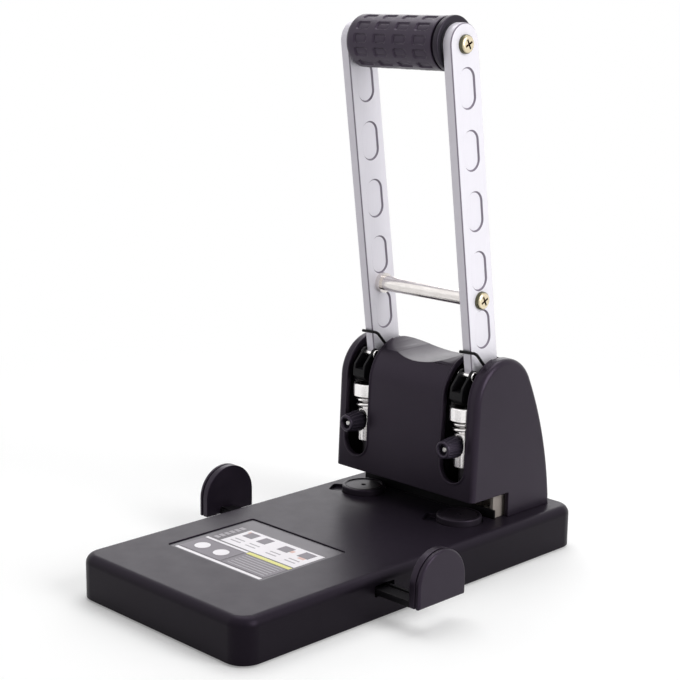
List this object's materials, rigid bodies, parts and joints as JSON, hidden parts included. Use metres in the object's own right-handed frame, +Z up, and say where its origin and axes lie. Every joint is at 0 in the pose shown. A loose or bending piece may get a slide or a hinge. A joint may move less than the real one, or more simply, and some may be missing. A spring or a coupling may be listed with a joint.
{
  "type": "paper drill",
  "caption": "Desk paper drill: a lever presses hollow drills through a paper stack in the throat, with turning cutting discs, a racked side gauge and a chip drawer.",
  "frame": {"origin": "on the table, under the middle of the base", "axes": "+Z up, +X to the user's right, +Y to the back, the user stands at -Y"},
  "size_m": [0.201, 0.276, 0.3234],
  "materials": {
    "shell_plastic": "satin fine grain",
    "disc_plastic": "satin",
    "knob_plastic": "satin",
    "label_card": "plain colour blocks",
    "grip_rubber": "matte",
    "ring_plastic": "satin",
    "foot_rubber": "matte",
    "arm_paint": "silver satin paint",
    "nickel": "satin nickel plate",
    "bar_steel": "polished",
    "gold_zinc": "yellow zinc plate",
    "black_steel": "black oxide",
    "black_wire": "black spring wire",
    "bright_wire": "bright spring wire",
    "dull_zinc": "dull zinc plate",
    "screw_steel": "zinc plate",
    "inner_plastic": "moulded"
  },
  "bodies": {
    "base": {"base_shell": "shell_plastic", "base_plate": "black_steel", "base_screws": "screw_steel", "rubber_feet": "foot_rubber", "label_plate": "label_card", "die_plate": "dull_zinc", "support_pillars": "dull_zinc", "gauge_tray": "inner_plastic", "gauge_cover": "dull_zinc", "gauge_screws": "screw_steel", "frame_screws": "screw_steel", "guide_plate": "black_steel", "paper_stop": "black_steel", "hinge_axle": "bar_steel", "axle_clips": "dull_zinc", "axle_spacers": "dull_zinc", "anchor_pins": "bar_steel", "housing_shell": "shell_plastic", "housing_screws": "screw_steel", "punch_frame_left": "black_steel", "punch_frame_right": "black_steel", "guide_bush_left": "black_steel", "guide_bush_right": "black_steel", "return_spring_left": "bright_wire", "return_spring_right": "bright_wire"},
    "handle": {"handle_arm_left": "arm_paint", "handle_arm_right": "arm_paint", "cross_bar": "bar_steel", "cross_bar_screws": "gold_zinc", "grip_core": "inner_plastic", "grip_sleeve": "grip_rubber", "grip_end_ring": "ring_plastic", "grip_screws": "gold_zinc", "press_cam_left": "black_steel", "press_cam_right": "black_steel", "cam_pins": "nickel", "torsion_spring_left": "black_wire", "torsion_spring_right": "black_wire"},
    "gauge_right": {"gauge_bar_right": "black_steel", "side_stop_right": "shell_plastic"},
    "gauge_left": {"gauge_bar_left": "black_steel", "side_stop_left": "shell_plastic"},
    "pinion": {"gauge_pinion": "inner_plastic"},
    "drawer": {"chip_drawer": "shell_plastic"},
    "drill_left": {"press_cap_left": "nickel", "cushion_spring_left": "nickel", "drill_chuck_left": "nickel", "hollow_drill_left": "bar_steel"},
    "screw_left": {"clamp_screw_left": "screw_steel"},
    "knob_left": {"clamp_knob_left": "knob_plastic"},
    "disc_left": {"cutting_disc_left": "disc_plastic"},
    "drill_right": {"press_cap_right": "nickel", "cushion_spring_right": "nickel", "drill_chuck_right": "nickel", "hollow_drill_right": "bar_steel"},
    "screw_right": {"clamp_screw_right": "screw_steel"},
    "knob_right": {"clamp_knob_right": "knob_plastic"},
    "disc_right": {"cutting_disc_right": "disc_plastic"}
  },
  "joints": [
    {"name": "handle_press", "type": "hinge", "parent": "base", "child": "handle", "pos_m": [0, 0.07945, 0.103], "axis": [1, 0, 0], "range_deg": [0, 48], "stiffness_Nm_per_rad": 0.9, "springref_deg": -34.38},
    {"name": "drill_stroke_left", "type": "slide", "parent": "base", "child": "drill_left", "axis": [0, 0, -1], "range_m": [0, 0.0129], "deforming": ["return_spring_left"]},
    {"name": "clamp_travel_left", "type": "slide", "parent": "drill_left", "child": "screw_left", "axis": [0, -1, 0], "range_m": [0, 0.0014]},
    {"name": "knob_turn_left", "type": "hinge", "parent": "screw_left", "child": "knob_left", "pos_m": [-0.04, 0.0504, 0.0734], "axis": [0, 1, 0], "range_deg": [0, 722]},
    {"name": "disc_turn_left", "type": "hinge", "parent": "base", "child": "disc_left", "pos_m": [-0.04, 0.0612, 0.0265], "axis": [0, 0, 1], "continuous": true},
    {"name": "drill_stroke_right", "type": "slide", "parent": "base", "child": "drill_right", "axis": [0, 0, -1], "range_m": [0, 0.0129], "deforming": ["return_spring_right"]},
    {"name": "clamp_travel_right", "type": "slide", "parent": "drill_right", "child": "screw_right", "axis": [0, -1, 0], "range_m": [0, 0.0014]},
    {"name": "knob_turn_right", "type": "hinge", "parent": "screw_right", "child": "knob_right", "pos_m": [0.04, 0.0504, 0.0734], "axis": [0, 1, 0], "range_deg": [0, 722]},
    {"name": "disc_turn_right", "type": "hinge", "parent": "base", "child": "disc_right", "pos_m": [0.04, 0.0612, 0.0265], "axis": [0, 0, 1], "continuous": true},
    {"name": "gauge_slide", "type": "slide", "parent": "base", "child": "gauge_right", "axis": [1, 0, 0], "range_m": [-0.022, 0.04]},
    {"name": "gauge_follow", "type": "slide", "parent": "base", "child": "gauge_left", "axis": [-1, 0, 0], "range_m": [-0.0221, 0.0401]},
    {"name": "pinion_turn", "type": "hinge", "parent": "base", "child": "pinion", "pos_m": [0, -0.021, 0.016], "axis": [0, 0, 1], "range_deg": [-181, 328.5]},
    {"name": "drawer_slide", "type": "slide", "parent": "base", "child": "drawer", "axis": [0, 1, 0], "range_m": [0, 0.085]}
  ],
  "couplings": [
    {"joint": "drill_stroke_left", "follows": "handle_press", "m_per_rad": 0.01535},
    {"joint": "knob_turn_left", "follows": "clamp_travel_left", "rad_per_m": 8976},
    {"joint": "drill_stroke_right", "follows": "handle_press", "m_per_rad": 0.01535},
    {"joint": "knob_turn_right", "follows": "clamp_travel_right", "rad_per_m": 8976},
    {"joint": "gauge_follow", "follows": "gauge_slide", "ratio": 1},
    {"joint": "pinion_turn", "follows": "gauge_slide", "rad_per_m": 142.86}
  ]
}
